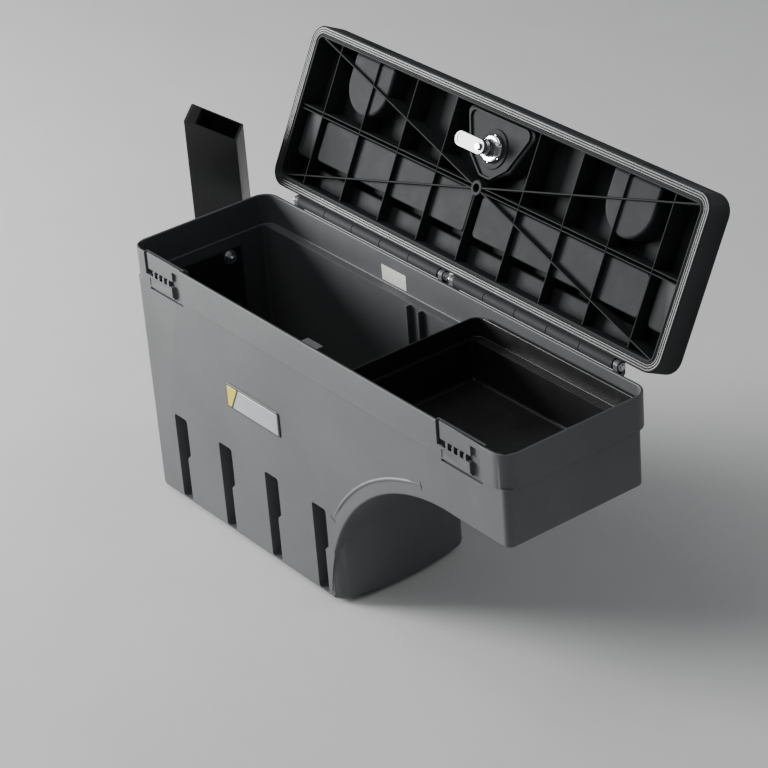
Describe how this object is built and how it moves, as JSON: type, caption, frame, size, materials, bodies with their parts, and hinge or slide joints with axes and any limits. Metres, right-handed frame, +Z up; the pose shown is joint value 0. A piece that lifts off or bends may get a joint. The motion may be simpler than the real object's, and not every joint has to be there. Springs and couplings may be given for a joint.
{
  "type": "truck bed tool box",
  "caption": "Swing-out moulded tool box for a pickup bed: arched case on a wall bracket with a vertical pivot, hinged locking lid and lift-out tray.",
  "frame": {"origin": "centre of the two wall bolts, on the bracket's face that meets the bed wall", "axes": "+X along the case from its pivot end to its free end, +Y from the badge face to the lid hinge, +Z up"},
  "size_m": [0.7841, 0.329, 0.528],
  "materials": {
    "case_plastic": "textured",
    "lid_plastic": "textured",
    "tray_plastic": "textured",
    "gasket_rubber": "matte",
    "black_steel": "satin powder coat",
    "zinc_steel": "satin",
    "pin_steel": "polished",
    "chrome": "bright",
    "spring_steel": "bright",
    "bush_polymer": "smooth",
    "washer_bronze": "satin",
    "badge_silver": "satin",
    "label_white": "matte",
    "knob_black": "smooth"
  },
  "bodies": {
    "bracket": {"wall_plate": "black_steel", "pivot_post": "black_steel", "pivot_webs": "black_steel", "pivot_pin": "pin_steel", "pin_clip": "spring_steel", "thrust_washers": "washer_bronze"},
    "case": {"tub": "case_plastic", "hinge_plate": "black_steel", "backing_plate": "black_steel", "hinge_bolts": "zinc_steel", "hinge_nuts": "zinc_steel", "pivot_bushes": "bush_polymer", "latch_housing": "zinc_steel", "latch_spring": "spring_steel", "badge_plate": "badge_silver", "interior_label": "label_white", "striker_plate": "zinc_steel", "striker_screws": "zinc_steel", "lid_hinge_pins": "pin_steel", "pin_retainers": "spring_steel"},
    "lid": {"lid_shell": "lid_plastic", "lid_gasket": "gasket_rubber", "lock_body": "chrome", "lock_nut": "chrome", "lock_washer": "zinc_steel"},
    "lock": {"lock_plug": "chrome", "lock_cam": "zinc_steel", "cam_screw": "zinc_steel"},
    "tray": {"tray": "tray_plastic"},
    "latch": {"latch_plunger": "pin_steel", "latch_knob": "knob_black"}
  },
  "joints": [
    {"name": "swing_pivot", "type": "hinge", "parent": "bracket", "child": "case", "pos_m": [0.03536, 0.03536, -0.1], "axis": [0, 0, 1], "range_deg": [-45, 135]},
    {"name": "lid_hinge", "type": "hinge", "parent": "case", "child": "lid", "pos_m": [0.41886, 0.06386, 0.064], "axis": [-1, 0, 0], "range_deg": [-116, 0]},
    {"name": "lock_turn", "type": "hinge", "parent": "lid", "child": "lock", "pos_m": [0.41886, 0.12835, 0.20444], "axis": [0, -0.8988, 0.4384], "range_deg": [-90, 0]},
    {"name": "tray_lift", "type": "slide", "parent": "case", "child": "tray", "axis": [0, 0, 1], "range_m": [0, 0.12]},
    {"name": "latch_pull", "type": "slide", "parent": "case", "child": "latch", "axis": [0, 0, 1], "range_m": [0, 0.008], "stiffness_N_per_m": 400, "springref_m": -0.01, "deforming": ["latch_spring"]}
  ]
}
